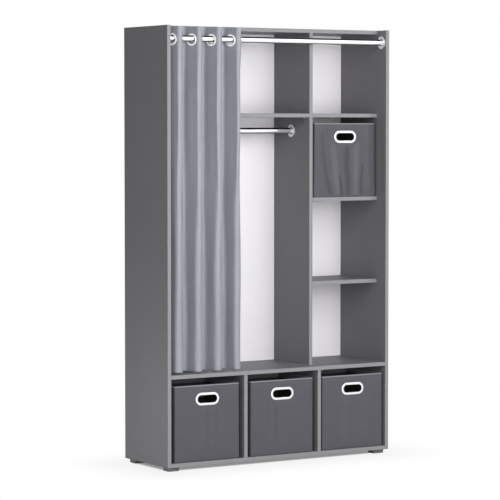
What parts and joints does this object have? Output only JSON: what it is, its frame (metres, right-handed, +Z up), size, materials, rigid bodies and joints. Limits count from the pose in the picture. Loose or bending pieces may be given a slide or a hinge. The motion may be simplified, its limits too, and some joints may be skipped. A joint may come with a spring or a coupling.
{
  "type": "kids wardrobe",
  "caption": "Open kids wardrobe: grey board carcass with box bays, a hanging space, a shelf column, fabric boxes and an eyelet curtain on a front rod.",
  "frame": {"origin": "on the floor under the middle of the carcass", "axes": "+X to the right seen from the front, +Y to the back, +Z up"},
  "size_m": [1.07, 0.35, 1.7745],
  "materials": {
    "board": "grey melamine, matt",
    "back_sheet": "white lacquered hardboard",
    "chrome": "chromed steel tube",
    "eyelet_metal": "satin metal",
    "handle_rim": "bright metal",
    "fastener_steel": "zinc plated",
    "dowel_wood": "plain beech",
    "foot_plastic": "matt grey",
    "box_fabric": "pressed felt-like fabric, dark grey",
    "box_board": "grey board",
    "curtain_fabric": "satin weave, grey blue"
  },
  "bodies": {
    "carcass": {"left_side_panel": "board", "right_side_panel": "board", "top_panel": "board", "bottom_panel": "board", "middle_shelf": "board", "lower_divider_left": "board", "lower_divider_right": "board", "upper_divider": "board", "upper_shelf_wide": "board", "upper_shelf_column": "board", "column_shelf_middle": "board", "column_shelf_lower": "board", "back_sheet_lower": "back_sheet", "back_sheet_upper": "back_sheet", "curtain_rod": "chrome", "hanging_rod": "chrome", "curtain_rod_socket_left": "chrome", "curtain_rod_socket_right": "chrome", "hanging_rod_socket_left": "chrome", "hanging_rod_socket_right": "chrome", "foot_front_left": "foot_plastic", "foot_front_right": "foot_plastic", "foot_rear_left": "foot_plastic", "foot_rear_right": "foot_plastic", "cam_bolts": "fastener_steel", "cam_discs": "fastener_steel", "divider_screws": "fastener_steel", "foot_screws": "fastener_steel", "socket_screws": "fastener_steel", "back_nails": "fastener_steel", "shelf_pins": "fastener_steel", "dowels": "dowel_wood"},
    "box_left": {"box_left_cover": "box_fabric", "box_left_wall_boards": "box_board", "box_left_base_board": "box_board", "box_left_handle": "handle_rim"},
    "box_middle": {"box_middle_cover": "box_fabric", "box_middle_wall_boards": "box_board", "box_middle_base_board": "box_board", "box_middle_handle": "handle_rim"},
    "box_right": {"box_right_cover": "box_fabric", "box_right_wall_boards": "box_board", "box_right_base_board": "box_board", "box_right_handle": "handle_rim"},
    "box_column": {"box_column_cover": "box_fabric", "box_column_wall_boards": "box_board", "box_column_base_board": "box_board", "box_column_handle": "handle_rim"},
    "eyelet_1": {"curtain_eyelet_1": "eyelet_metal", "curtain_cloth": "curtain_fabric"},
    "eyelet_2": {"curtain_eyelet_2": "eyelet_metal"},
    "eyelet_3": {"curtain_eyelet_3": "eyelet_metal"},
    "eyelet_4": {"curtain_eyelet_4": "eyelet_metal"},
    "eyelet_5": {"curtain_eyelet_5": "eyelet_metal"},
    "eyelet_6": {"curtain_eyelet_6": "eyelet_metal"},
    "eyelet_7": {"curtain_eyelet_7": "eyelet_metal"},
    "eyelet_8": {"curtain_eyelet_8": "eyelet_metal"}
  },
  "joints": [
    {"name": "box_left_slide", "type": "slide", "parent": "carcass", "child": "box_left", "axis": [0, -1, 0], "range_m": [0, 0.25]},
    {"name": "box_middle_slide", "type": "slide", "parent": "carcass", "child": "box_middle", "axis": [0, -1, 0], "range_m": [0, 0.25]},
    {"name": "box_right_slide", "type": "slide", "parent": "carcass", "child": "box_right", "axis": [0, -1, 0], "range_m": [0, 0.25]},
    {"name": "box_column_slide", "type": "slide", "parent": "carcass", "child": "box_column", "axis": [0, -1, 0], "range_m": [0, 0.25]},
    {"name": "eyelet_1_slide", "type": "slide", "parent": "carcass", "child": "eyelet_1", "axis": [1, 0, 0], "range_m": [0, 0.03], "deforming": ["curtain_cloth"]},
    {"name": "eyelet_2_slide", "type": "slide", "parent": "eyelet_1", "child": "eyelet_2", "axis": [1, 0, 0], "range_m": [0, 0.03]},
    {"name": "eyelet_3_slide", "type": "slide", "parent": "eyelet_2", "child": "eyelet_3", "axis": [1, 0, 0], "range_m": [0, 0.03]},
    {"name": "eyelet_4_slide", "type": "slide", "parent": "eyelet_3", "child": "eyelet_4", "axis": [1, 0, 0], "range_m": [0, 0.03]},
    {"name": "eyelet_5_slide", "type": "slide", "parent": "eyelet_4", "child": "eyelet_5", "axis": [1, 0, 0], "range_m": [0, 0.03]},
    {"name": "eyelet_6_slide", "type": "slide", "parent": "eyelet_5", "child": "eyelet_6", "axis": [1, 0, 0], "range_m": [0, 0.03]},
    {"name": "eyelet_7_slide", "type": "slide", "parent": "eyelet_6", "child": "eyelet_7", "axis": [1, 0, 0], "range_m": [0, 0.03]},
    {"name": "eyelet_8_slide", "type": "slide", "parent": "eyelet_7", "child": "eyelet_8", "axis": [1, 0, 0], "range_m": [0, 0.03]}
  ],
  "couplings": [
    {"joint": "eyelet_2_slide", "follows": "eyelet_1_slide", "ratio": 1},
    {"joint": "eyelet_3_slide", "follows": "eyelet_1_slide", "ratio": 1},
    {"joint": "eyelet_4_slide", "follows": "eyelet_1_slide", "ratio": 1},
    {"joint": "eyelet_5_slide", "follows": "eyelet_1_slide", "ratio": 1},
    {"joint": "eyelet_6_slide", "follows": "eyelet_1_slide", "ratio": 1},
    {"joint": "eyelet_7_slide", "follows": "eyelet_1_slide", "ratio": 1},
    {"joint": "eyelet_8_slide", "follows": "eyelet_1_slide", "ratio": 1}
  ]
}
